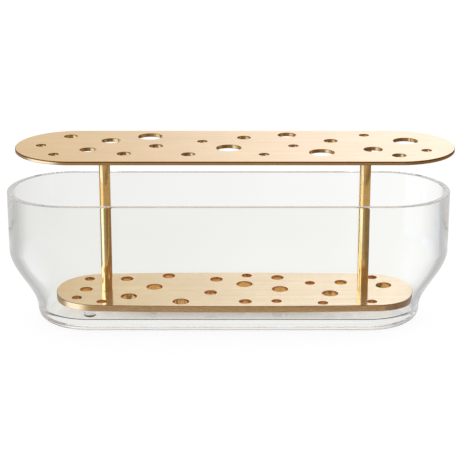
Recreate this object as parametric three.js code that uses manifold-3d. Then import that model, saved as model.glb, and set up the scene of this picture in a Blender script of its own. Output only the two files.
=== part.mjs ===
// Long ikebana vase: a clear glass vessel with a loose brass insert.
// The insert is a pair of drilled plates on two posts, standing on clear bumpers in the vessel.
// Millimetres, +Z up, X along the vase. The origin is the middle of the foot, on the table.

import * as THREE from 'three';
import { mergeVertices } from 'three/addons/utils/BufferGeometryUtils.js';
import Module from 'manifold-3d';

const wasm = await Module();
wasm.setup();

// Vessel
const rimLength = 360;
const rimWidth = 105;
const rimHeight = 109;
const rimRadius = 1.2;
const footLength = 316;
const footWidth = 90;
const footRadius = 9.5;
const shoulderBottom = 10;
const shoulderTop = 60;
const wallThickness = 5;
const floorThickness = 9.8;
const floorRadius = 3;

// Insert
const endPlay = 6.2;
const sidePlay = 1.5;
const restGap = 1;
const bumperDiameter = 10;
const bumperFaceDiameter = 6;
const bumperHeight = 7.2;
const basePlateThickness = 5.5;
const basePlateSideBow = 2.5;
const postDiameter = 9;
const postLength = 119.5;
const postSpacing = 211.5;
const topPlateLength = 354;
const topPlateWidth = 96;
const topPlateThickness = 3;

// Post joints: a spigot into the top plate, a countersunk screw through the base plate
const spigotDiameter = 5;
const spigotHeight = 1.8;
const screwDiameter = 4;
const screwLength = 14;
const screwHeadDiameter = 7.6;
const screwHeadSink = 0.3;
const screwKeyWidth = 2.5;
const screwKeyDepth = 1.6;
const fitClearance = 0.3;
const cutterOverrun = 2;

// Stem holes: drill sizes, then places as shares of the plate's half length and half width
const smallHole = 8;
const baseMediumHole = 10;
const topMediumHole = 11;
const baseLargeHole = 13;
const topLargeHole = 15;
const topWidestHole = 20;
const postLand = 0.4;

const topDrilling = [
  {
    diameter: smallHole,
    places: [
      [-0.884, 0.02], [-0.811, -0.55], [-0.15, 0.28], [0.13, -0.55],
      [0.266, -0.01], [0.602, 0.69], [0.864, -0.3],
    ],
  },
  {
    diameter: topMediumHole,
    places: [
      [-0.763, 0.615], [-0.497, -0.51], [-0.359, -0.02], [-0.209, -0.55],
      [0.042, 0.53], [0.441, 0.315], [0.732, -0.615],
    ],
  },
  { diameter: baseLargeHole, places: [[-0.664, -0.26]] },
  { diameter: topLargeHole, places: [[-0.571, 0.325], [0.243, 0.7], [0.624, -0.24]] },
  { diameter: topWidestHole, places: [[-0.393, 0.605], [-0.028, -0.145], [0.39, -0.434], [0.785, 0.304]] },
];

const baseDrilling = [
  {
    diameter: smallHole,
    places: [
      [-0.827, 0.63], [-0.874, -0.485], [-0.732, -0.72], [0.068, 0.82],
      [0.229, -0.69], [0.425, 0.385], [0.482, -0.795], [0.753, -0.72], [0.783, 0.72],
    ],
  },
  {
    diameter: baseMediumHole,
    places: [
      [-0.833, 0.015], [-0.614, 0.63], [-0.378, 0.805], [-0.105, 0.6], [-0.135, -0.18],
      [0.057, -0.72], [0.243, 0.705], [0.6, 0.425],
    ],
  },
  {
    diameter: baseLargeHole,
    places: [
      [-0.452, 0.155], [-0.587, -0.41], [-0.297, -0.72], [0.054, 0.32],
      [0.253, 0.025], [0.53, -0.23], [0.84, 0.245],
    ],
  },
];

// Bumpers stand between the stem holes: places as shares of the base plate's half length and half width
const bumperPlaces = {
  left_front: [-0.797, -0.744],
  left_back: [-0.716, 0.693],
  right_front: [0.63, -0.28],
  right_back: [0.695, 0.693],
};

// Facets: twice an odd number of vessel sides puts a corner on the tip of each end
const vesselSides = 50;
const wallSteps = 10;
const cornerSteps = 6;
const arcSteps = 10;
const roundSides = 26;
const mergeDistance = 1e-4;

// Materials
const glass = { color: 0xeef2f0, roughness: 0.04, metalness: 0, transparent: true, opacity: 0.35 };
const brushedBrass = { color: 0xe3c8a0, roughness: 0.35, metalness: 1 };
const polishedBrass = { color: 0xc79a58, roughness: 0.18, metalness: 1 };
const clearRubber = { color: 0xe9ebe8, roughness: 0.3, metalness: 0, transparent: true, opacity: 0.6 };

// Closed solids from geometry, with shared vertices merged, for cutting
function solidOf(geometry) {
  const plain = geometry.index ? geometry.toNonIndexed() : geometry.clone();
  plain.deleteAttribute('normal');
  plain.deleteAttribute('uv');
  const merged = mergeVertices(plain, mergeDistance);
  return new wasm.Manifold(new wasm.Mesh({
    numProp: 3,
    vertProperties: new Float32Array(merged.attributes.position.array),
    triVerts: new Uint32Array(merged.index.array),
  }));
}

function cut(geometry, cutters) {
  const left = cutters.reduce((solid, cutter) => solid.subtract(solidOf(cutter)), solidOf(geometry));
  const mesh = left.getMesh();
  const result = new THREE.BufferGeometry();
  result.setAttribute('position', new THREE.BufferAttribute(new Float32Array(mesh.vertProperties), 3));
  result.setIndex(new THREE.BufferAttribute(new Uint32Array(mesh.triVerts), 1));
  result.computeVertexNormals();
  return result;
}

// A turned piece standing on +Z from [radius, height] points
function turned(points, sides = roundSides) {
  const profile = points.map(([radius, height]) => new THREE.Vector2(radius, height));
  const geometry = new THREE.LatheGeometry(profile, sides, Math.PI / sides);
  return geometry.rotateX(Math.PI / 2);
}

// Points along a circular arc, ends included
function arcPoints(centreRadius, centreHeight, radius, fromAngle, toAngle) {
  return Array.from({ length: cornerSteps + 1 }, (_, step) => {
    const angle = THREE.MathUtils.lerp(fromAngle, toAngle, step / cornerSteps);
    return [centreRadius + radius * Math.cos(angle), centreHeight + radius * Math.sin(angle)];
  });
}

// The vessel's outline swells from the foot to the rim in one S-curve between the shoulder heights
function vesselHalf(height) {
  const swell = THREE.MathUtils.smoothstep(height, shoulderBottom, shoulderTop);
  return {
    length: THREE.MathUtils.lerp(footLength, rimLength, swell) / 2,
    width: THREE.MathUtils.lerp(footWidth, rimWidth, swell) / 2,
  };
}

function wallPoints(fromHeight, toHeight, inset) {
  return Array.from({ length: wallSteps + 1 }, (_, step) => {
    const height = THREE.MathUtils.lerp(fromHeight, toHeight, step / wallSteps);
    return [vesselHalf(height).width - inset, height];
  });
}

// The vessel is turned as a round bowl, then its halves are drawn apart along X to leave straight sides
function vesselGeometry() {
  const rimOutside = rimWidth / 2 - rimRadius;
  const rimInside = rimWidth / 2 - wallThickness + rimRadius;
  const rimCentre = rimHeight - rimRadius;
  const innerCorner = floorThickness + floorRadius;
  const footHalf = vesselHalf(footRadius).width;
  const floorHalf = vesselHalf(innerCorner).width - wallThickness;
  const geometry = turned([
    [0, 0],
    ...arcPoints(footHalf - footRadius, footRadius, footRadius, -Math.PI / 2, 0),
    ...wallPoints(footRadius, shoulderTop, 0).slice(1),
    ...arcPoints(rimOutside, rimCentre, rimRadius, 0, Math.PI / 2),
    ...arcPoints(rimInside, rimCentre, rimRadius, Math.PI / 2, Math.PI),
    ...wallPoints(shoulderTop, innerCorner, wallThickness),
    ...arcPoints(floorHalf - floorRadius, innerCorner, floorRadius, 0, -Math.PI / 2).slice(1),
    [0, floorThickness],
  ], vesselSides);
  const position = geometry.attributes.position;
  for (let i = 0; i < position.count; i += 1) {
    const x = position.getX(i);
    const half = vesselHalf(position.getZ(i));
    position.setX(i, x + Math.sign(x) * (half.length - half.width));
  }
  return geometry;
}

// A plate's outline: round ends, and long sides that are straight or bow out in a shallow arc
function plateOutline(length, width, sideBow) {
  const endRadius = width / 2 - sideBow;
  const endCentre = length / 2 - endRadius;
  const quarter = Math.PI / 2;
  const shape = new THREE.Shape();
  if (sideBow > 0) {
    const sideCentre = (endCentre ** 2 - sideBow ** 2) / (2 * sideBow);
    const sideRadius = width / 2 + sideCentre;
    const turn = Math.atan2(endCentre, sideCentre);
    shape.absarc(endCentre, 0, endRadius, turn - quarter, quarter - turn);
    shape.absarc(0, -sideCentre, sideRadius, quarter - turn, quarter + turn);
    shape.absarc(-endCentre, 0, endRadius, quarter + turn, 3 * quarter - turn);
    shape.absarc(0, sideCentre, sideRadius, 3 * quarter - turn, 3 * quarter + turn);
  } else {
    shape.absarc(endCentre, 0, endRadius, -quarter, quarter);
    shape.absarc(-endCentre, 0, endRadius, quarter, 3 * quarter);
  }
  return shape;
}

// Stem holes keep some metal between themselves and the posts: one that would not is left out
function drilledPlate(length, width, sideBow, thickness, drilling) {
  const shape = plateOutline(length, width, sideBow);
  for (const { diameter, places } of drilling) {
    for (const [along, across] of places) {
      const x = along * length / 2;
      const y = across * width / 2;
      const toPost = Math.hypot(Math.abs(x) - postSpacing / 2, y);
      if (toPost < (diameter + postDiameter) / 2 + postLand) continue;
      shape.holes.push(new THREE.Path().absarc(x, y, diameter / 2, 0, 2 * Math.PI));
    }
  }
  return new THREE.ExtrudeGeometry(shape, { depth: thickness, bevelEnabled: false, curveSegments: arcSteps });
}

function atPosts(geometry) {
  return [-1, 1].map((side) => geometry.clone().translate(side * postSpacing / 2, 0, 0));
}

function topPlateGeometry() {
  const plate = drilledPlate(topPlateLength, topPlateWidth, 0, topPlateThickness, topDrilling);
  const socketRadius = spigotDiameter / 2 + fitClearance;
  const socketDepth = spigotHeight + fitClearance;
  const socket = turned([
    [0, -cutterOverrun], [socketRadius, -cutterOverrun], [socketRadius, socketDepth], [0, socketDepth],
  ]);
  return cut(plate, atPosts(socket));
}

// A right-angled countersunk head: its height is the step from head to shank
function screwProfile(growth) {
  const shank = screwDiameter / 2 + growth;
  const head = screwHeadDiameter / 2 + growth;
  return { shank, head, headHeight: head - shank };
}

// The base plate follows the vessel's inside at its own height
function basePlateSize() {
  const under = vesselHalf(floorThickness + bumperHeight);
  return {
    length: 2 * (under.length - wallThickness - endPlay),
    width: 2 * (under.width - wallThickness - sidePlay),
  };
}

function basePlateGeometry() {
  const { length, width } = basePlateSize();
  const plate = drilledPlate(length, width, basePlateSideBow, basePlateThickness, baseDrilling);
  const { shank, head, headHeight } = screwProfile(fitClearance);
  const above = basePlateThickness + cutterOverrun;
  const hole = turned([
    [0, -cutterOverrun], [head, -cutterOverrun], [head, screwHeadSink], [shank, screwHeadSink + headHeight],
    [shank, above], [0, above],
  ]);
  return cut(plate, atPosts(hole));
}

function postGeometry() {
  const tapRadius = screwDiameter / 2 + fitClearance;
  const tapDepth = screwLength + screwHeadSink - basePlateThickness + 2 * fitClearance;
  const radius = postDiameter / 2;
  const spigotRadius = spigotDiameter / 2;
  return turned([
    [0, tapDepth], [tapRadius, tapDepth], [tapRadius, 0], [radius, 0], [radius, postLength],
    [spigotRadius, postLength], [spigotRadius, postLength + spigotHeight], [0, postLength + spigotHeight],
  ]);
}

function screwGeometry() {
  const { shank, head, headHeight } = screwProfile(0);
  const body = turned([[0, 0], [head, 0], [shank, headHeight], [shank, screwLength], [0, screwLength]]);
  const keyRadius = screwKeyWidth / Math.sqrt(3);
  const key = new THREE.CylinderGeometry(keyRadius, keyRadius, 2 * screwKeyDepth, 6);
  return cut(body, [key.rotateX(Math.PI / 2)]);
}

function bumperGeometry() {
  const top = bumperDiameter / 2;
  const face = bumperFaceDiameter / 2;
  const flare = top - face;
  return turned([
    [0, 0],
    ...arcPoints(face, flare, flare, -Math.PI / 2, 0),
    [top, bumperHeight],
    [0, bumperHeight],
  ]);
}

function piece(name, geometry, look, x = 0, y = 0, z = 0) {
  const mesh = new THREE.Mesh(geometry, new THREE.MeshStandardMaterial(look));
  mesh.name = name;
  mesh.position.set(x, y, z);
  return mesh;
}

const vase = new THREE.Group();
vase.add(piece('glass_vessel', vesselGeometry(), glass));

// The insert rests on the vessel's floor, pushed along X until it nearly meets the end wall
const insert = new THREE.Group();
insert.position.set(endPlay - restGap, 0, floorThickness);
vase.add(insert);

const postFoot = bumperHeight + basePlateThickness;
insert.add(piece('base_plate', basePlateGeometry(), brushedBrass, 0, 0, bumperHeight));
insert.add(piece('top_plate', topPlateGeometry(), brushedBrass, 0, 0, postFoot + postLength));

for (const [end, side] of [['left', -1], ['right', 1]]) {
  const x = side * postSpacing / 2;
  insert.add(piece(`${end}_post`, postGeometry(), polishedBrass, x, 0, postFoot));
  insert.add(piece(`${end}_screw`, screwGeometry(), polishedBrass, x, 0, bumperHeight + screwHeadSink));
}

const { length: baseLength, width: baseWidth } = basePlateSize();
for (const [place, [along, across]] of Object.entries(bumperPlaces)) {
  const x = along * baseLength / 2;
  const y = across * baseWidth / 2;
  insert.add(piece(`${place}_bumper`, bumperGeometry(), clearRubber, x, y));
}

export default vase;
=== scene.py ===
"""Ikebana vase: a clear glass bowl with a loose brass insert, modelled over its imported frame."""

import math

import bmesh
import bpy
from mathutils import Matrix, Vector


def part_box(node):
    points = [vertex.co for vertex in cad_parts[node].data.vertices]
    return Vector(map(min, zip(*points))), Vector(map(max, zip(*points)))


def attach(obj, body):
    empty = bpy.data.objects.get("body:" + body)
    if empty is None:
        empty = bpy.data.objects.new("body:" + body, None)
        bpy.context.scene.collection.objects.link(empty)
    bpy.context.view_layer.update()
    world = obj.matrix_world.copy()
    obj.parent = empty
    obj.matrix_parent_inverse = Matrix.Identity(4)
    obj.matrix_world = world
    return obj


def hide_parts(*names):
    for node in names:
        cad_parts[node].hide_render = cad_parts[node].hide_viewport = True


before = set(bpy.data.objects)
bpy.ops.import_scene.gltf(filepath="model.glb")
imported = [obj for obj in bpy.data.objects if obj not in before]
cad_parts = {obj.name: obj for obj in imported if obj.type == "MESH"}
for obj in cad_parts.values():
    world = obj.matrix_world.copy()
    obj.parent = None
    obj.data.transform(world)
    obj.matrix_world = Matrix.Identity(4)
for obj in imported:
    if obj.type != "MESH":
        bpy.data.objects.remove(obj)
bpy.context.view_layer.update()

bl_info = {
    "name": "Ikebana Vase",
    "version": (1, 0, 0),
    "blender": (4, 5, 0),
    "location": "3D View > Sidebar > Vase",
    "description": "Models a glass vase with a drilled brass insert on a studio floor",
    "category": "Add Mesh",
}

MM = 0.001

# Facets: twice an odd number puts a corner on the tip of each round end and none on the middle line
BOWL_SIDES = 150
PLATE_SIDES = 114
SIDE_CUTS = 24
HOLE_SIDES = 48
ROUND_SIDES = 64
WALL_STEPS = 40
BEND_STEPS = 16
SMALL_BEND_STEPS = 8
EDGE_STEPS = 2

# Angles in degrees past which an edge counts as sharp, on metal and on glass
METAL_SHARP = 35
GLASS_SHARP = 60

# Lean of a face's normal: a flat face is above the first, a broken edge above the second
FLAT = 0.9
SLOPING = 0.3

# Places that agree to this many digits, in metres, are the same place
DIGITS = 6

# How far a cutter reaches past the metal
OVERSHOOT = 2 * MM

# How near a face has to be to a plate's outline or to its dark line, which is painted shade, to belong to it
OUTLINE_MARGIN = 0.2 * MM
SHADE_LINE_MARGIN = 0.4 * MM

# Order of the plates' materials: the third is a dark brass painted as shade along the broken edges and under
# the upper face, the fourth the holes' walls, painted darker as shade
BRUSHED, MILLED, PAINTED_SHADE_LINE, DRILLED = range(4)

# The paper lies just under the foot, and the camera has a full-frame sensor, in mm
PAPER_DROP = 0.1 * MM
SENSOR_WIDTH = 36

# Light runs a long way inside the rim and the foot before it leaves them
RIM_BOUNCES = 200
RIM_CROSSINGS = 48

# Stem holes: drill sizes in mm, then places as shares of the plate's half length and half width
UPPER_DRILLING = {
    8: (
        (-0.884, 0.02), (-0.811, -0.55), (-0.15, 0.28), (0.13, -0.55),
        (0.266, -0.01), (0.602, 0.69), (0.864, -0.3),
    ),
    11: (
        (-0.763, 0.615), (-0.497, -0.51), (-0.359, -0.02), (-0.209, -0.55),
        (0.042, 0.53), (0.441, 0.315), (0.732, -0.615),
    ),
    13: ((-0.664, -0.26),),
    15: ((-0.571, 0.325), (0.243, 0.7), (0.624, -0.24)),
    20: ((-0.393, 0.605), (-0.028, -0.145), (0.39, -0.434), (0.785, 0.304)),
}
LOWER_DRILLING = {
    8: (
        (-0.827, 0.63), (-0.874, -0.485), (-0.732, -0.72), (0.068, 0.82),
        (0.229, -0.69), (0.425, 0.385), (0.482, -0.795), (0.753, -0.72), (0.783, 0.72),
    ),
    10: (
        (-0.833, 0.015), (-0.614, 0.63), (-0.378, 0.805), (-0.105, 0.6), (-0.135, -0.18),
        (0.057, -0.72), (0.243, 0.705), (0.6, 0.425),
    ),
    13: (
        (-0.452, 0.155), (-0.587, -0.41), (-0.297, -0.72), (0.054, 0.32),
        (0.253, 0.025), (0.53, -0.23), (0.84, 0.245),
    ),
}


def linear(code):
    """Linear colour from an sRGB hex value."""
    shares = [int(code[at:at + 2], 16) / 255 for at in (0, 2, 4)]
    return tuple(s / 12.92 if s <= 0.04045 else ((s + 0.055) / 1.055) ** 2.4 for s in shares)


def solid(colour):
    """A colour with full alpha, for a socket."""
    return (*colour, 1.0)


def grey(level):
    """A grey of a linear level, for a socket."""
    return (level, level, level, 1.0)


def cad_size(node):
    """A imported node's length, width and height."""
    low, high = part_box(node)
    return high - low


def cad_foot(node):
    """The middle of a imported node's underside."""
    low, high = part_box(node)
    return Vector(((low.x + high.x) / 2, (low.y + high.y) / 2, low.z))


def length_property(name, description, default):
    return bpy.props.FloatProperty(
        name=name, description=description, default=default, min=0.0, unit="LENGTH"
    )


def place_property(name, description, default):
    return bpy.props.FloatVectorProperty(
        name=name, description=description, default=default, subtype="TRANSLATION"
    )


def colour_property(name, description, code):
    return bpy.props.FloatVectorProperty(
        name=name, description=description, default=linear(code), min=0.0, max=1.0, subtype="COLOR"
    )


class VaseGlass(bpy.types.PropertyGroup):
    """Sizes and colour of the glass bowl"""

    rim_length: length_property("Rim length", "Length over the rim", cad_size("glass_vessel").x)
    rim_width: length_property("Rim width", "Width over the rim", cad_size("glass_vessel").y)
    rim_height: length_property("Height", "Height of the rim over the table", cad_size("glass_vessel").z)
    rim_radius: length_property("Rim radius", "Rounding of the rim's two edges", 1.2 * MM)
    rim_ring: length_property("Rim ring", "Flat ring beside each rounding of the rim", 0.15 * MM)
    foot_length: length_property("Foot length", "Length of the narrow lower part", 316 * MM)
    foot_width: length_property("Foot width", "Width of the narrow lower part", 90 * MM)
    foot_radius: length_property("Foot radius", "Rounding of the foot", 9.5 * MM)
    shoulder_bottom: length_property("Shoulder bottom", "Height at which the wall starts to swell", 10 * MM)
    shoulder_top: length_property("Shoulder top", "Height at which the wall is at its full width", 60 * MM)
    wall: length_property("Wall", "Thickness of the wall", 5 * MM)
    floor: length_property("Floor", "Thickness of the glass floor", 9.8 * MM)
    floor_radius: length_property("Floor radius", "Rounding between floor and wall inside", 3 * MM)
    tint: colour_property("Tint", "Colour of the glass in its thickness", "fdfdfb")


class VaseInsert(bpy.types.PropertyGroup):
    """Sizes and colours of the brass insert"""

    chamfer: length_property("Chamfer", "Broken edge of the plates and their holes", 0.3 * MM)
    side_bow: length_property("Side bow", "Swell of the lower plate's long sides", 2.5 * MM)
    post_land: length_property("Post land", "Metal kept between a hole and a post", 0.4 * MM)
    post_edge: length_property("Post edge", "Broken edge of the posts", 0.2 * MM)
    spigot_diameter: length_property("Spigot", "Diameter of the post's upper end", 5 * MM)
    spigot_height: length_property("Spigot height", "How far the post goes into the upper plate", 1.8 * MM)
    screw_diameter: length_property("Screw", "Diameter of the screw's shank", 4 * MM)
    screw_edge: length_property("Screw edge", "Broken edge of the screws", 0.15 * MM)
    screw_key: length_property("Screw key", "Width of the six-sided socket", 2.5 * MM)
    screw_key_depth: length_property("Key depth", "Depth of the six-sided socket", 1.6 * MM)
    clearance: length_property("Clearance", "Play round the spigots and screws", 0.3 * MM)
    bumper_face: length_property("Bumper face", "Diameter of a bumper where it stands on the glass", 6 * MM)
    bumper_edge: length_property("Bumper edge", "Rounded edge of the bumpers", 0.3 * MM)
    # The dark line and the broken edges are painted shade: a dark brass that stands for the dark reflection
    # along the plates' edges
    line_width: length_property("Dark line", "Height of the dark line under the upper face", 0.6 * MM)
    face_colour: colour_property("Plate faces", "Brass of the brushed faces", "eed3ac")
    edge_colour: colour_property("Plate edges", "Brass of the milled edges", "e2ae70")
    shade_line_colour: colour_property("Painted shade line", "Dark line of the plates' broken edges", "7a4a14")
    # The holes' walls are painted shade: a darker brass than the edges, darker in the upper plate than in
    # the lower one
    upper_hole_shade_colour: colour_property("Upper holes", "Brass of the upper plate's drilled walls", "c99a5a")
    lower_hole_shade_colour: colour_property("Lower holes", "Brass of the lower plate's drilled walls", "dca65c")
    post_colour: colour_property("Posts", "Brass of the drawn posts", "f0c178")
    screw_colour: colour_property("Screws", "Brass of the turned screws", "e2b36c")
    bumper_colour: colour_property("Bumpers", "Clear rubber of the bumpers", "f1f3f0")


class VaseStage(bpy.types.PropertyGroup):
    """The studio round the vase"""

    floor_size: length_property("Floor", "Side of the studio floor", 14.0)
    floor_colour: colour_property("Floor colour", "Paper of the studio floor", "6c6c6c")
    floor_glow: bpy.props.FloatProperty(
        name="Floor white", description="Share of the floor's white that does not depend on the lamps",
        default=0.88, min=0.0,
    )
    lamp_place: place_property("Softbox", "Place of the softbox overhead", (0.0, 0.15, 1.4))
    lamp_length: length_property("Softbox length", "Length of the softbox", 1.4)
    lamp_width: length_property("Softbox width", "Width of the softbox", 1.0)
    lamp_power: bpy.props.FloatProperty(
        name="Softbox power", description="Power of the softbox", default=4.0, min=0.0, unit="POWER"
    )
    camera_place: place_property("Camera", "Place of the camera", (0.00323, -1.2374, 0.4781))
    camera_tilt: bpy.props.FloatProperty(
        name="Tilt", description="Angle between the camera and straight down",
        default=math.radians(71.8), subtype="ANGLE",
    )
    camera_lens: bpy.props.FloatProperty(
        name="Lens", description="Focal length on a 36 mm sensor", default=122.85, unit="CAMERA"
    )


# Editing


def select_only(piece):
    bpy.ops.object.select_all(action="DESELECT")
    piece.select_set(True)
    bpy.context.view_layer.objects.active = piece


def pick(piece, kind, test):
    """Selects what passes the test among the piece's vertices, edges or faces, and nothing else."""
    bpy.ops.mesh.select_mode(type=kind)
    bpy.ops.mesh.select_all(action="DESELECT")
    mesh = bmesh.from_edit_mesh(piece.data)
    for part in {"VERT": mesh.verts, "EDGE": mesh.edges, "FACE": mesh.faces}[kind]:
        if test(part):
            part.select_set(True)
    mesh.select_flush_mode()
    bmesh.update_edit_mesh(piece.data)


def move(offset):
    bpy.ops.transform.translate(value=offset)


def new_ring(name, sides, radius, height=0.0):
    """A ring of edges round the middle, open in edit mode and selected, with corners on the X axis."""
    bpy.ops.object.select_all(action="DESELECT")
    bpy.ops.mesh.primitive_circle_add(vertices=sides, radius=radius, fill_type="NOTHING")
    piece = bpy.context.active_object
    piece.name = piece.data.name = name
    bpy.ops.object.mode_set(mode="EDIT")
    bpy.ops.mesh.select_mode(type="VERT")
    bpy.ops.mesh.select_all(action="SELECT")
    bpy.ops.transform.rotate(value=math.pi / 2, orient_axis="Z", center_override=(0, 0, 0))
    move((0, 0, height))
    return piece


def draw_up(profile):
    """Extrudes the selected ring through the rest of a profile of (radius, height) points."""
    for (last_radius, last_height), (radius, height) in zip(profile, profile[1:]):
        bpy.ops.mesh.extrude_region_move(TRANSFORM_OT_translate={"value": (0, 0, height - last_height)})
        growth = radius / last_radius
        if growth != 1:
            bpy.ops.transform.resize(value=(growth, growth, 1), center_override=(0, 0, height))


def close_ring(piece, height):
    """Fills the open ring at a height with one flat face."""
    same = 10 ** -DIGITS
    pick(piece, "EDGE", lambda edge: edge.is_boundary and all(
        abs(corner.co.z - height) < same for corner in edge.verts
    ))
    bpy.ops.mesh.edge_face_add()


def turned(name, profile, sides=ROUND_SIDES):
    """A solid of revolution standing on the origin, open in edit mode, from (radius, height) points."""
    piece = new_ring(name, sides, *profile[0])
    draw_up(profile)
    for _, height in (profile[-1], profile[0]):
        close_ring(piece, height)
    bpy.ops.mesh.select_all(action="SELECT")
    bpy.ops.mesh.normals_make_consistent(inside=False)
    return piece


def arc(centre, radius, start, end, steps):
    """Points along an arc in a profile, both ends included."""
    angles = [math.radians(start + (end - start) * step / steps) for step in range(steps + 1)]
    return [(centre[0] + radius * math.cos(a), centre[1] + radius * math.sin(a)) for a in angles]


def draw_apart(piece, distance_at):
    """Draws the two halves of a turned shape apart along X, ring by ring, to leave straight sides."""
    mesh = bmesh.from_edit_mesh(piece.data)
    heights = sorted({round(corner.co.z, DIGITS) for corner in mesh.verts})
    for height in heights:
        for side in (-1, 1):
            pick(piece, "VERT", lambda corner: (
                round(corner.co.z, DIGITS) == height and corner.co.x * side > 0
            ))
            move((side * distance_at(height), 0, 0))


def place(spot):
    """Moves the whole mesh that is open, so that the object itself stays at the origin, and closes it."""
    bpy.ops.mesh.select_all(action="SELECT")
    move(spot)
    bpy.ops.object.mode_set(mode="OBJECT")


def break_edges(piece, width):
    """Rounds every sharp edge of a turned piece."""
    select_only(piece)
    bpy.ops.object.modifier_add(type="BEVEL")
    bevel = piece.modifiers[-1]
    bevel.width = width
    bevel.segments = EDGE_STEPS
    bevel.limit_method = "ANGLE"
    bevel.angle_limit = math.radians(METAL_SHARP)
    bpy.ops.object.modifier_apply(modifier=bevel.name)


def cut_away(piece, cutter):
    """Takes the cutter's shape out of the piece, and the cutter out of the scene."""
    select_only(piece)
    bpy.ops.object.modifier_add(type="BOOLEAN")
    cut = piece.modifiers[-1]
    cut.operation = "DIFFERENCE"
    cut.solver = "EXACT"
    cut.object = cutter
    bpy.ops.object.modifier_apply(modifier=cut.name)
    bpy.data.objects.remove(cutter)


def copy_piece(piece, name, offset):
    """A copy with its own mesh, moved by an offset."""
    select_only(piece)
    bpy.ops.object.duplicate(linked=False)
    twin = bpy.context.active_object
    twin.name = twin.data.name = name
    bpy.ops.object.mode_set(mode="EDIT")
    place(offset)
    return twin


def finish_piece(piece, node, body, slot, *materials, sharp=METAL_SHARP):
    """Smooth shading, materials, and the piece's place in the frame."""
    select_only(piece)
    bpy.ops.object.shade_smooth_by_angle(angle=math.radians(sharp))
    for material in materials:
        piece.data.materials.append(material)
    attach(piece, body)
    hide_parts(node)


# Materials

# Settings of nodes that are used again and again
ABSOLUTE = {"operation": "ABSOLUTE"}
BELOW = {"operation": "LESS_THAN"}
COLOURS = {"data_type": "RGBA"}
MAXIMUM = {"operation": "MAXIMUM"}
MULTIPLY = {"operation": "MULTIPLY"}
SCALE = {"operation": "SCALE"}
SOFT = {"interpolation_type": "SMOOTHSTEP"}

# Most of a noise lies between these values
NOISE = {"From_Min": 0.3, "From_Max": 0.7}

# Index of refraction of glass and clear rubber, and the share of their mirror images that the picture shows
CLEAR_IOR = 1.5
GLASS_SHINE = grey(0.3)
RUBBER_SHINE = grey(0.5)


def new_material(name):
    material = bpy.data.materials.new(name)
    material.use_nodes = True
    material.node_tree.nodes.clear()
    return material, material.node_tree


def add_node(tree, kind, settings=None, **sockets):
    """Adds a node with its settings; a socket takes a value, an output, or a node for its first output."""
    node = tree.nodes.new(kind)
    for name, value in (settings or {}).items():
        setattr(node, name, value)
    inputs = [socket for socket in node.inputs if socket.enabled]
    for name, value in sockets.items():
        if name[1:].isdigit():
            socket = inputs[int(name[1:])]
        else:
            socket = next(each for each in inputs if each.name == name.replace("_", " "))
        if isinstance(value, bpy.types.Node):
            value = next(each for each in value.outputs if each.enabled)
        if isinstance(value, bpy.types.NodeSocket):
            tree.links.new(value, socket)
        else:
            socket.default_value = value
    return node


def lay_over(tree, colour, *layers):
    """Lays colours over a first one, each as far as all its values have run from start to end."""
    for layer, *spans in layers:
        share = 1.0
        for value, start, end in spans:
            run = add_node(tree, "ShaderNodeMapRange", SOFT, Value=value, From_Min=start, From_Max=end)
            share = add_node(tree, "ShaderNodeMath", MULTIPLY, _0=share, _1=run)
        colour = add_node(tree, "ShaderNodeMix", COLOURS, Factor=share, A=colour, B=layer)
    return colour


def show_clear(tree, surface, colour):
    """Shows a clear surface, and lets the lamps shine straight through it, so what is behind it is lit."""
    path = add_node(tree, "ShaderNodeLightPath")
    clear = add_node(tree, "ShaderNodeBsdfTransparent", Color=solid(colour))
    both = add_node(tree, "ShaderNodeMixShader", Fac=path.outputs["Is Shadow Ray"], _1=surface, _2=clear)
    add_node(tree, "ShaderNodeOutputMaterial", Surface=both)


def clear_glass(tint):
    """Blown soda-lime glass: clear, with a faint grey in its thickness that is not quite even."""
    material, tree = new_material("Clear soda-lime glass")
    spot = add_node(tree, "ShaderNodeTexCoord")
    # Cords in the melt, about 60 mm from one to the next
    cords = add_node(
        tree, "ShaderNodeTexNoise", Vector=spot.outputs["Object"], Scale=1 / (60 * MM), Detail=1.0
    )
    shade = add_node(tree, "ShaderNodeMapRange", Value=cords, To_Min=0.985, To_Max=1.0, **NOISE)
    tone = add_node(tree, "ShaderNodeVectorMath", SCALE, _0=tint, Scale=shade)
    glass = add_node(
        tree, "ShaderNodeBsdfPrincipled", Base_Color=tone, Roughness=0.0, IOR=CLEAR_IOR,
        Transmission_Weight=1.0, Specular_Tint=GLASS_SHINE,
    )
    show_clear(tree, glass, tint)
    return material


def clear_rubber(colour):
    """Cast clear polyurethane: see-through, with a skin that is not quite flat."""
    material, tree = new_material("Clear cast polyurethane")
    spot = add_node(tree, "ShaderNodeTexCoord")
    # Shallow waves in the skin, about 2 mm from crest to crest
    skin = add_node(
        tree, "ShaderNodeTexNoise", Vector=spot.outputs["Object"], Scale=1 / (2 * MM), Detail=1.0
    )
    waves = add_node(tree, "ShaderNodeBump", Height=skin, Strength=1.0, Distance=0.1 * MM)
    rubber = add_node(
        tree, "ShaderNodeBsdfPrincipled", Base_Color=solid(colour), Roughness=0.0, IOR=CLEAR_IOR,
        Transmission_Weight=1.0, Specular_Tint=RUBBER_SHINE, Normal=waves,
    )
    show_clear(tree, rubber, colour)
    return material


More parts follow.
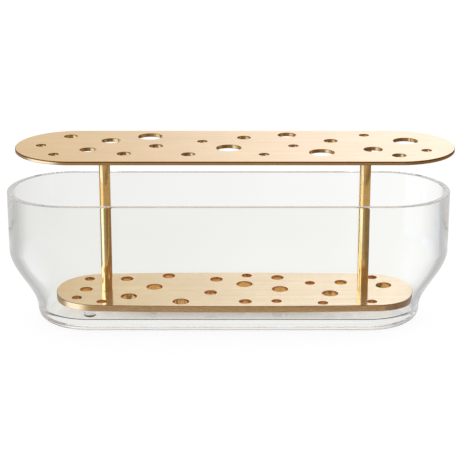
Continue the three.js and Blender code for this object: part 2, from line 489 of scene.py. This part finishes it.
def brass(name, colour, grain, roughness, depth, lengthwise=False):
    """Brass with a directional grain, given by its size along X, Y and Z and the depth of its ridges."""
    material, tree = new_material(name)
    spot = add_node(tree, "ShaderNodeTexCoord")
    fine = tuple(1 / size for size in grain)
    run = add_node(tree, "ShaderNodeMapping", Vector=spot.outputs["Object"], Scale=fine)
    lines = add_node(tree, "ShaderNodeTexNoise", Vector=run, Scale=1.0, Detail=3.0, Roughness=0.6)
    # Streaks four times as wide as the grain, which a picture can still show
    wide = add_node(tree, "ShaderNodeTexNoise", Vector=run, Scale=1 / 4, Detail=2.0, Roughness=0.5)
    streak = add_node(tree, "ShaderNodeMapRange", Value=wide, To_Min=0.93, To_Max=1.03, **NOISE)
    # Clouds of handling and faint tarnish, about 30 mm across
    clouds = add_node(
        tree, "ShaderNodeTexNoise", Vector=spot.outputs["Object"],
        Scale=1 / (30 * MM), Detail=3.0, Roughness=0.55,
    )
    cloud = add_node(tree, "ShaderNodeMapRange", Value=clouds, To_Min=0.96, To_Max=1.02, **NOISE)
    shade = add_node(tree, "ShaderNodeMath", MULTIPLY, _0=streak, _1=cloud)
    tone = add_node(tree, "ShaderNodeVectorMath", SCALE, _0=colour, Scale=shade)
    smoothest, roughest = 0.8 * roughness, 1.25 * roughness
    dull = add_node(tree, "ShaderNodeMapRange", Value=lines, To_Min=smoothest, To_Max=roughest, **NOISE)
    ridges = add_node(tree, "ShaderNodeBump", Height=lines, Strength=1.0, Distance=depth)
    brushing = {}
    if lengthwise:
        # Brushing along X spreads reflections across it only
        along = add_node(tree, "ShaderNodeTangent", {"direction_type": "RADIAL", "axis": "Y"})
        brushing = {"Tangent": along, "Anisotropic": 0.9, "Anisotropic_Rotation": 0.25}
    metal = add_node(
        tree, "ShaderNodeBsdfPrincipled", Base_Color=tone, Metallic=1.0, Roughness=dull,
        Normal=ridges, **brushing,
    )
    add_node(tree, "ShaderNodeOutputMaterial", Surface=metal)
    return material


# Paper under the bowl: half the foot's middle line, its edge, and the part that the holes' walls show
FOOT_LINE = 113 * MM
FOOT_EDGE = 46 * MM
SHOWN_LENGTH = 150 * MM
SHOWN_WIDTH = 60 * MM
SHOWN_MIDDLE = -15 * MM

# Its levels there: round the lower plate's shade, in its middle, lit, and under the foot's rounding
SHADE_EDGE = grey(0.85)
SHADE_MIDDLE = grey(0.46)
SHADE_LIT = grey(1.0)
SHADE_ROUNDING = grey(0.1)


def studio_paper(colour, glow):
    """White background paper: keeps a faint shadow, and gives way to the surround in glass and brass."""
    material, tree = new_material("White background paper")
    material.cycles.emission_sampling = "NONE"
    paper = add_node(
        tree, "ShaderNodeBsdfPrincipled", Base_Color=solid(colour), Roughness=1.0, Specular_IOR_Level=0.0,
        Emission_Color=grey(1.0), Emission_Strength=glow,
    )
    path = add_node(tree, "ShaderNodeLightPath")
    bounces = path.outputs["Glossy Depth"]
    walls = path.outputs["Transmission Depth"]
    spot = add_node(tree, "ShaderNodeTexCoord")
    part = add_node(tree, "ShaderNodeSeparateXYZ", Vector=spot.outputs["Object"])
    x, y = (part.outputs[axis] for axis in "XY")
    # Distance from the foot's middle line, which joins the centres of the two round ends
    aside = add_node(tree, "ShaderNodeMath", ABSOLUTE, _0=x)
    past_line = add_node(tree, "ShaderNodeMath", {"operation": "SUBTRACT"}, _0=aside, _1=FOOT_LINE)
    along = add_node(tree, "ShaderNodeMath", MAXIMUM, _0=past_line, _1=0.0)
    offset = add_node(tree, "ShaderNodeCombineXYZ", X=along, Y=y)
    out = add_node(tree, "ShaderNodeVectorMath", {"operation": "LENGTH"}, _0=offset)

    # Seen through the glass, it is in the lower plate's shade, and dark under the foot's front rounding
    # The walls of the holes show it lit, and dark under the whole rounding
    straight = (bounces, 1, 0)
    mirrored = (bounces, 0, 1)
    under_plate = (aside, 120 * MM, 60 * MM), (y, -42 * MM, -5 * MM)
    outer_wall = (walls, 3, 2)
    front = (y, -20 * MM, -33 * MM)
    rounding = (out, 33 * MM, 38 * MM), (out, 50 * MM, 46 * MM)
    tone = lay_over(
        tree, SHADE_EDGE,
        (SHADE_MIDDLE, *under_plate),
        (SHADE_LIT, mirrored),
        (SHADE_ROUNDING, mirrored, *rounding),
        (SHADE_ROUNDING, straight, outer_wall, front, *rounding),
    )
    shade = add_node(tree, "ShaderNodeEmission", Color=tone)

    # It ends at the foot's edge, and for the walls of the holes a little farther out
    in_length = add_node(tree, "ShaderNodeMath", BELOW, _0=aside, _1=SHOWN_LENGTH)
    in_width = add_node(
        tree, "ShaderNodeMath", {"operation": "COMPARE"}, _0=y, _1=SHOWN_MIDDLE, _2=SHOWN_WIDTH
    )
    in_mirror = add_node(tree, "ShaderNodeMath", {"operation": "MINIMUM"}, _0=bounces, _1=1.0)
    shown = add_node(tree, "ShaderNodeMath", MULTIPLY, _0=in_length, _1=in_width)
    shown = add_node(tree, "ShaderNodeMath", MULTIPLY, _0=shown, _1=in_mirror)
    in_foot = add_node(tree, "ShaderNodeMath", BELOW, _0=out, _1=FOOT_EDGE)
    under = add_node(tree, "ShaderNodeMath", MAXIMUM, _0=shown, _1=in_foot)
    clear = add_node(tree, "ShaderNodeBsdfTransparent")
    beneath = add_node(tree, "ShaderNodeMixShader", Fac=under, _1=clear, _2=shade)
    both = add_node(tree, "ShaderNodeMixShader", Fac=path.outputs["Is Camera Ray"], _1=beneath, _2=paper)
    add_node(tree, "ShaderNodeOutputMaterial", Surface=both)
    return material


# Light of the surround, linear, with 1 for the paper's white: what brass shows
BEHIND_LEFT = (0.857, 0.77, 0.63, 1.0)
BEHIND_RIGHT = (1.4, 1.44, 1.6, 1.0)
IN_FRONT = grey(0.6)
OVERHEAD = grey(0.9)
LOW_LEFT = grey(0.4)
LOW_RIGHT = (0.24, 0.2, 0.16, 1.0)
PANEL = (1.5, 2.2, 4.0, 1.0)

# What one piece of brass shows in another
AGAIN_DIM = (0.34, 0.3, 0.25, 1.0)
AGAIN_PANEL = (2.4, 3.7, 7.0, 1.0)

# What glass shows of it as a mirror, and what makes up for the light that four faces of glass send back
GLASS_BEHIND = grey(0.86)
GLASS_LOW = grey(0.52)
GLASS_PANEL = (1.3, 1.38, 1.5, 1.0)
GLASS_GAIN = (1.0, 1.06, 1.11, 1.0)

# What is seen through the glass: from left to right, where the round ends bend the view, and far down
THROUGH_LEFT = 0.87
THROUGH_RIGHT = 1.03
THROUGH_ENDS = grey(0.68)
THROUGH_LOW = grey(0.5)

# What the rim and the foot show: round the front, steeply up at the ends, and by light that has run far
EDGE_FRONT = grey(0.5)
EDGE_STEEP = grey(0.15)
EDGE_FAR = grey(0.58)

# Half the width of the turn from left to right behind the vase, as a part of a direction
TURN = 0.15


def studio_surround():
    """White behind and above, dim in front, a bright panel low on the left, a dim warm side on the right."""
    world = bpy.data.worlds.new("Studio surround")
    world.use_nodes = True
    tree = world.node_tree
    tree.nodes.clear()
    way = add_node(tree, "ShaderNodeTexCoord")
    part = add_node(tree, "ShaderNodeSeparateXYZ", Vector=way.outputs["Generated"])
    x, y, z = (part.outputs[axis] for axis in "XYZ")
    aside = add_node(tree, "ShaderNodeMath", ABSOLUTE, _0=x)
    path = add_node(tree, "ShaderNodeLightPath")
    bounces = path.outputs["Glossy Depth"]
    walls = path.outputs["Transmission Depth"]

    # Spans of the counts of faces that mirror the light, and of faces of glass that it crosses
    clean = (path.outputs["Is Singular Ray"], 0, 1)
    once = (bounces, 2, 1)
    again = (bounces, 1, 2)
    by_glass = clean, (walls, 4, 3)

    # What the brass shows: behind, the white is brighter and cooler to the right
    upper = lay_over(
        tree, BEHIND_LEFT,
        (BEHIND_RIGHT, (x, -TURN, TURN)),
        (GLASS_BEHIND, *by_glass),
        (IN_FRONT, (y, 0.4, -0.2)),
        (OVERHEAD, (z, 0.5, 0.9)),
    )
    lower = lay_over(tree, LOW_LEFT, (LOW_RIGHT, (x, 0.05, 0.4)), (GLASS_LOW, *by_glass))
    # What one piece of brass shows in another is dim to the right and in front
    to_right = add_node(tree, "ShaderNodeMapRange", Value=x, From_Min=0.3, From_Max=0.6)
    to_front = add_node(tree, "ShaderNodeMapRange", Value=y, From_Min=0.4, From_Max=0.0)
    away = add_node(tree, "ShaderNodeMath", MAXIMUM, _0=to_right, _1=to_front)
    # A cool bright panel low on the left, which reaches higher in what one piece shows in another
    panel = lay_over(tree, PANEL, (GLASS_PANEL, *by_glass))
    panel_again = lay_over(tree, AGAIN_PANEL, (GLASS_PANEL, *by_glass))
    far_left = (x, -0.42, -0.72)
    around = lay_over(
        tree, upper,
        (lower, (z, 0.1, -0.08)),
        (AGAIN_DIM, again, (away, 0, 1)),
        (panel, once, far_left, (y, 0.24, -0.08), (z, 0.1, -0.1)),
        (panel_again, again, far_left, (y, 0.84, 0.52), (z, 0.9, 0.7)),
    )
    gain = lay_over(tree, grey(1.0), (GLASS_GAIN, (walls, 2, 4)))
    around = add_node(tree, "ShaderNodeVectorMath", MULTIPLY, _0=around, _1=gain)

    # What is seen through the glass: white, brighter to the right, and grey where the round ends bend it
    slope = add_node(
        tree, "ShaderNodeMapRange", Value=x, From_Min=-TURN, From_Max=TURN,
        To_Min=THROUGH_LEFT, To_Max=THROUGH_RIGHT,
    )
    through = lay_over(tree, slope, (THROUGH_ENDS, (aside, 0.14, 0.5)), (THROUGH_LOW, (z, -0.5, -0.9)))
    # What the glass itself shows, on its face and in its rim and foot: the same, and grey round the front
    edges = lay_over(
        tree, through,
        (EDGE_FRONT, (y, 0.6, -0.3)),
        (EDGE_STEEP, (z, 0.3, 0.6), (aside, 0.25, 0.5)),
        (EDGE_FAR, (bounces, 4, 9)),
    )
    # It shows on the outer face, and in the rim and the foot, which mirror the light again and again
    level = lay_over(
        tree, around,
        (edges, clean, (walls, 1, 0)),
        (edges, clean, again, (walls, 3, 2)),
        (edges, clean, (bounces, 2, 3)),
        (through, (path.outputs["Is Transmission Ray"], 0, 1), (bounces, 1, 0)),
        (grey(1.0), (path.outputs["Is Camera Ray"], 0, 1)),
    )
    light = add_node(tree, "ShaderNodeBackground", Color=level, Strength=1.0)
    add_node(tree, "ShaderNodeOutputWorld", Surface=light)
    return world


# Pieces


class VASE_OT_glass_bowl(bpy.types.Operator):
    """Turns the glass bowl and draws its halves apart"""

    bl_idname = "vase.glass_bowl"
    bl_label = "Glass bowl"

    def execute(self, context):
        glass = context.scene.vase_glass

        def half(height):
            """Half the bowl's length and width at a height."""
            share = (height - glass.shoulder_bottom) / (glass.shoulder_top - glass.shoulder_bottom)
            share = min(max(share, 0.0), 1.0)
            swell = share * share * (3 - 2 * share)
            length = glass.foot_length + (glass.rim_length - glass.foot_length) * swell
            width = glass.foot_width + (glass.rim_width - glass.foot_width) * swell
            return length / 2, width / 2

        def wall(low, high, inset):
            """Points of the profile along the wall, from one height to another."""
            heights = [low + (high - low) * step / WALL_STEPS for step in range(WALL_STEPS + 1)]
            return [(half(height)[1] - inset, height) for height in heights]

        # A narrow ring beside each rounding keeps the rim's flat top flat in the shading
        lip = glass.rim_radius
        ring = lip + glass.rim_ring
        outside, inside = glass.rim_width / 2, glass.rim_width / 2 - glass.wall
        corner = glass.floor + glass.floor_radius
        foot = half(glass.foot_radius)[1] - glass.foot_radius
        floor = half(corner)[1] - glass.wall - glass.floor_radius
        profile = [
            *arc((foot, glass.foot_radius), glass.foot_radius, -90, 0, BEND_STEPS),
            *wall(glass.foot_radius, glass.shoulder_top, 0)[1:],
            *arc((outside - lip, glass.rim_height - lip), lip, 0, 90, SMALL_BEND_STEPS),
            (outside - ring, glass.rim_height),
            (inside + ring, glass.rim_height),
            *arc((inside + lip, glass.rim_height - lip), lip, 90, 180, SMALL_BEND_STEPS),
            *wall(glass.shoulder_top, corner, glass.wall),
            *arc((floor, corner), glass.floor_radius, 0, -90, SMALL_BEND_STEPS)[1:],
        ]
        piece = turned("glass_bowl", profile, BOWL_SIDES)
        draw_apart(piece, lambda height: half(height)[0] - half(height)[1])
        bpy.ops.object.mode_set(mode="OBJECT")
        clear = clear_glass(glass.tint)
        finish_piece(piece, "glass_vessel", "vessel", "clear_glass", clear, sharp=GLASS_SHARP)
        return {"FINISHED"}


def drilled_plate(name, node, side_bow, line, drilling, insert):
    """A plate with round ends, its stem holes and broken edges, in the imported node's place."""
    size = cad_size(node)
    foot = cad_foot(node)
    end_radius = size.y / 2 - side_bow
    end_centre = size.x / 2 - end_radius
    piece = new_ring(name, PLATE_SIDES, end_radius)
    draw_apart(piece, lambda height: end_centre)
    if side_bow:
        pick(piece, "EDGE", lambda edge: edge.calc_length() > end_centre)
        bpy.ops.mesh.subdivide(number_cuts=SIDE_CUTS)
        drop = (end_centre ** 2 - side_bow ** 2) / (2 * side_bow)
        mesh = bmesh.from_edit_mesh(piece.data)
        straight = [corner.co.x for corner in mesh.verts if abs(corner.co.x) < end_centre - MM]
        for column in sorted({round(x, DIGITS) for x in straight}):
            swell = math.sqrt((size.y / 2 + drop) ** 2 - column ** 2) - drop
            pick(piece, "VERT", lambda corner: round(corner.co.x, DIGITS) == column)
            bpy.ops.transform.resize(value=(1, swell / end_radius, 1), center_override=(column, 0, 0))
    post_radius = cad_size("left_post").x / 2
    post_x = (cad_foot("right_post").x - cad_foot("left_post").x) / 2
    for drill, places in drilling.items():
        for along, across in places:
            x, y = along * size.x / 2, across * size.y / 2
            radius = drill * MM / 2
            room = math.hypot(abs(x) - post_x, y) - radius - post_radius
            if room > insert.post_land:
                bpy.ops.mesh.primitive_circle_add(vertices=HOLE_SIDES, radius=radius, location=(x, y, 0))
    bpy.ops.mesh.select_mode(type="EDGE")
    bpy.ops.mesh.select_all(action="SELECT")
    bpy.ops.mesh.fill(use_beauty=True)
    # A strip as high as the dark line is left at the top of the walls, for the painted shade
    for rise in (size.z - 2 * insert.chamfer - line, line):
        if rise:
            bpy.ops.mesh.extrude_region_move(TRANSFORM_OT_translate={"value": (0, 0, rise)})
    bpy.ops.mesh.select_all(action="SELECT")
    bpy.ops.mesh.normals_make_consistent(inside=False)
    for facing in (1, -1):
        pick(piece, "FACE", lambda face: face.normal.z * facing > FLAT)
        bpy.ops.mesh.inset(thickness=insert.chamfer, depth=insert.chamfer)
    place((foot.x, foot.y, foot.z + insert.chamfer))
    return piece


def paint_plate(piece, node, side_bow, line):
    """Brushed faces, milled outer walls, and painted shade: a dark line on the broken edges and under the
    upper face, and darker walls in the holes.
    """
    size = cad_size(node)
    foot = cad_foot(node)
    shade_line_foot = foot.z + size.z - line - SHADE_LINE_MARGIN
    end_radius = size.y / 2 - side_bow
    end_centre = size.x / 2 - end_radius
    for face in piece.data.polygons:
        lean = abs(face.normal.z)
        along = max(abs(face.center.x - foot.x) - end_centre, 0)
        outer = math.hypot(along, face.center.y) > end_radius - OUTLINE_MARGIN
        high = line and face.center.z > shade_line_foot
        if lean > FLAT:
            face.material_index = BRUSHED
        # Broken edges, and the strip under the upper face: the dark line of painted shade
        elif lean > SLOPING or outer and high:
            face.material_index = PAINTED_SHADE_LINE
        elif outer:
            face.material_index = MILLED
        # The holes' walls, in a darker brass that is painted shade
        else:
            face.material_index = DRILLED


class VASE_OT_plates(bpy.types.Operator):
    """Cuts, drills and finishes the upper and the lower plate"""

    bl_idname = "vase.plates"
    bl_label = "Drilled plates"

    def execute(self, context):
        insert = context.scene.vase_insert
        upper = drilled_plate("upper_plate", "top_plate", 0.0, insert.line_width, UPPER_DRILLING, insert)
        lower = drilled_plate("lower_plate", "base_plate", insert.side_bow, 0.0, LOWER_DRILLING, insert)

        # Sockets for the posts in the upper plate, countersunk holes for the screws in the lower one
        spigot = insert.spigot_diameter / 2 + insert.clearance
        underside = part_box("top_plate")[0].z
        socket_top = underside + insert.spigot_height + insert.clearance
        socket = [(spigot, underside - OVERSHOOT), (spigot, socket_top)]
        head = cad_size("left_screw").x / 2 + insert.clearance
        shank = insert.screw_diameter / 2 + insert.clearance
        low = cad_foot("left_screw").z
        shank_top = cad_foot("left_post").z + OVERSHOOT
        sink = [(head, low - OVERSHOOT), (head, low), (shank, low + head - shank), (shank, shank_top)]
        for node in ("left_post", "right_post"):
            spot = cad_foot(node)
            for piece, profile in ((upper, socket), (lower, sink)):
                cutter = turned("cutter", profile)
                place((spot.x, spot.y, 0))
                cut_away(piece, cutter)

        # Brushed along its length: fine streaks, with highlights drawn out across them
        brushed = brass(
            "Brushed brass sheet", insert.face_colour,
            grain=(60 * MM, 0.5 * MM, 0.5 * MM), roughness=0.2, depth=0.01 * MM, lengthwise=True,
        )
        # Milled: faint level lines and a soft shine; the broken edges and the strip under the upper face are
        # dull, and dark by painted shade that stands for a dark reflection
        mill_marks = {"grain": (8 * MM, 8 * MM, 0.5 * MM), "depth": 0.005 * MM}
        milled = brass("Milled brass edge", insert.edge_colour, roughness=0.24, **mill_marks)
        broken = brass("Brass edge with painted shade line", insert.shade_line_colour, roughness=0.4, **mill_marks)
        # Drilled: fine rings that break up what the walls show, on a darker brass that is painted shade in
        # the holes, darker in the upper plate than in the lower one
        drill_marks = {"grain": (2 * MM, 2 * MM, 0.8 * MM), "depth": 0.03 * MM, "roughness": 0.16}
        upper_holes_shade = brass("Drilled brass wall with painted shade, upper plate", insert.upper_hole_shade_colour, **drill_marks)
        lower_holes_shade = brass("Drilled brass wall with painted shade, lower plate", insert.lower_hole_shade_colour, **drill_marks)
        for piece, node, side_bow, line, drilled in (
            (upper, "top_plate", 0.0, insert.line_width, upper_holes_shade),
            (lower, "base_plate", insert.side_bow, 0.0, lower_holes_shade),
        ):
            finish_piece(piece, node, "insert", "brushed_brass", brushed, milled, broken, drilled)
            paint_plate(piece, node, side_bow, line)
        return {"FINISHED"}


class VASE_OT_posts(bpy.types.Operator):
    """Turns a post with its spigot and tapped end, and copies it"""

    bl_idname = "vase.posts"
    bl_label = "Posts"

    def execute(self, context):
        insert = context.scene.vase_insert
        radius = cad_size("left_post").x / 2
        length = cad_size("left_post").z - insert.spigot_height
        tap = insert.screw_diameter / 2 + insert.clearance
        tap_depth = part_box("left_screw")[1].z - cad_foot("left_post").z + 2 * insert.clearance
        spigot = insert.spigot_diameter / 2
        left = turned("post_left", [
            (tap, tap_depth), (tap, 0), (radius, 0), (radius, length),
            (spigot, length), (spigot, length + insert.spigot_height),
        ])
        place(cad_foot("left_post"))
        break_edges(left, insert.post_edge)
        right = copy_piece(left, "post_right", cad_foot("right_post") - cad_foot("left_post"))
        # Drawn and polished: clear upright highlights with a faint ripple
        drawn = brass(
            "Drawn brass rod", insert.post_colour,
            grain=(12 * MM, 12 * MM, 0.5 * MM), roughness=0.16, depth=0.004 * MM,
        )
        finish_piece(left, "left_post", "insert", "polished_brass", drawn)
        finish_piece(right, "right_post", "insert", "polished_brass", drawn)
        return {"FINISHED"}


class VASE_OT_screws(bpy.types.Operator):
    """Turns a countersunk screw with a six-sided socket, and copies it"""

    bl_idname = "vase.screws"
    bl_label = "Screws"

    def execute(self, context):
        insert = context.scene.vase_insert
        size = cad_size("left_screw")
        spot = cad_foot("left_screw")
        head, shank = size.x / 2, insert.screw_diameter / 2
        left = turned("screw_left", [(head, 0), (shank, head - shank), (shank, size.z)])
        place(spot)
        break_edges(left, insert.screw_edge)
        bpy.ops.object.select_all(action="DESELECT")
        key_radius = insert.screw_key / math.sqrt(3)
        bpy.ops.mesh.primitive_cylinder_add(
            vertices=6, radius=key_radius, depth=2 * insert.screw_key_depth, location=spot
        )
        cut_away(left, bpy.context.active_object)
        right = copy_piece(left, "screw_right", cad_foot("right_screw") - spot)
        # Turned: fine rings round the head
        bar = brass(
            "Turned brass bar", insert.screw_colour,
            grain=(1 * MM, 1 * MM, 0.3 * MM), roughness=0.24, depth=0.01 * MM,
        )
        finish_piece(left, "left_screw", "insert", "screw_brass", bar)
        finish_piece(right, "right_screw", "insert", "screw_brass", bar)
        return {"FINISHED"}


class VASE_OT_bumpers(bpy.types.Operator):
    """Casts a bumper and copies it to all four places"""

    bl_idname = "vase.bumpers"
    bl_label = "Bumpers"

    def execute(self, context):
        insert = context.scene.vase_insert
        size = cad_size("left_front_bumper")
        spot = cad_foot("left_front_bumper")
        face = insert.bumper_face / 2
        flare = size.x / 2 - face
        first = turned("bumper_left_front", [
            *arc((face, flare), flare, -90, 0, SMALL_BEND_STEPS), (size.x / 2, size.z),
        ])
        place(spot)
        break_edges(first, insert.bumper_edge)
        rubber = clear_rubber(insert.bumper_colour)
        for end, facing in (("left", "back"), ("right", "front"), ("right", "back")):
            node = f"{end}_{facing}_bumper"
            twin = copy_piece(first, f"bumper_{end}_{facing}", cad_foot(node) - spot)
            finish_piece(twin, node, "insert", "clear_bumper", rubber)
        finish_piece(first, "left_front_bumper", "insert", "clear_bumper", rubber)
        return {"FINISHED"}


class VASE_OT_stage(bpy.types.Operator):
    """Sets the floor, the surround, the softbox and the camera"""

    bl_idname = "vase.stage"
    bl_label = "Stage"

    def execute(self, context):
        scene = context.scene
        stage = scene.vase_stage
        bpy.ops.object.select_all(action="DESELECT")
        bpy.ops.mesh.primitive_plane_add(size=stage.floor_size, location=(0, 0, -PAPER_DROP))
        floor = bpy.context.active_object
        floor.name = floor.data.name = "studio_floor"
        floor.data.materials.append(studio_paper(stage.floor_colour, stage.floor_glow))
        scene.world = studio_surround()

        bpy.ops.object.light_add(type="AREA", location=stage.lamp_place)
        lamp = bpy.context.active_object
        lamp.name = lamp.data.name = "Overhead softbox"
        lamp.data.shape = "RECTANGLE"
        lamp.data.size = stage.lamp_length
        lamp.data.size_y = stage.lamp_width
        lamp.data.energy = stage.lamp_power

        bpy.ops.object.camera_add(location=stage.camera_place, rotation=(stage.camera_tilt, 0, 0))
        camera = bpy.context.active_object
        camera.name = camera.data.name = "Camera"
        camera.data.lens = stage.camera_lens
        camera.data.sensor_width = SENSOR_WIDTH
        scene.camera = camera
        scene.view_settings.view_transform = "Standard"
        scene.cycles.max_bounces = RIM_BOUNCES
        scene.cycles.glossy_bounces = RIM_BOUNCES
        scene.cycles.transmission_bounces = RIM_CROSSINGS
        return {"FINISHED"}


OPERATORS = (
    VASE_OT_glass_bowl,
    VASE_OT_plates,
    VASE_OT_posts,
    VASE_OT_screws,
    VASE_OT_bumpers,
    VASE_OT_stage,
)


class VASE_PT_sidebar(bpy.types.Panel):
    """Sizes, colours and making of the vase"""

    bl_label = "Ikebana Vase"
    bl_idname = "VASE_PT_sidebar"
    bl_space_type = "VIEW_3D"
    bl_region_type = "UI"
    bl_category = "Vase"

    def draw(self, context):
        for heading, group in (
            ("Glass", context.scene.vase_glass),
            ("Insert", context.scene.vase_insert),
            ("Stage", context.scene.vase_stage),
        ):
            box = self.layout.box()
            box.label(text=heading)
            for name in group.__annotations__:
                box.prop(group, name)
        for operator in OPERATORS:
            self.layout.operator(operator.bl_idname)


CLASSES = (VaseGlass, VaseInsert, VaseStage, *OPERATORS, VASE_PT_sidebar)


def register():
    for each in CLASSES:
        bpy.utils.register_class(each)
    bpy.types.Scene.vase_glass = bpy.props.PointerProperty(type=VaseGlass)
    bpy.types.Scene.vase_insert = bpy.props.PointerProperty(type=VaseInsert)
    bpy.types.Scene.vase_stage = bpy.props.PointerProperty(type=VaseStage)


def unregister():
    del bpy.types.Scene.vase_stage
    del bpy.types.Scene.vase_insert
    del bpy.types.Scene.vase_glass
    for each in reversed(CLASSES):
        bpy.utils.unregister_class(each)


def main():
    register()
    bpy.ops.vase.glass_bowl()
    bpy.ops.vase.plates()
    bpy.ops.vase.posts()
    bpy.ops.vase.screws()
    bpy.ops.vase.bumpers()
    bpy.ops.vase.stage()


if __name__ == "__main__":
    main()
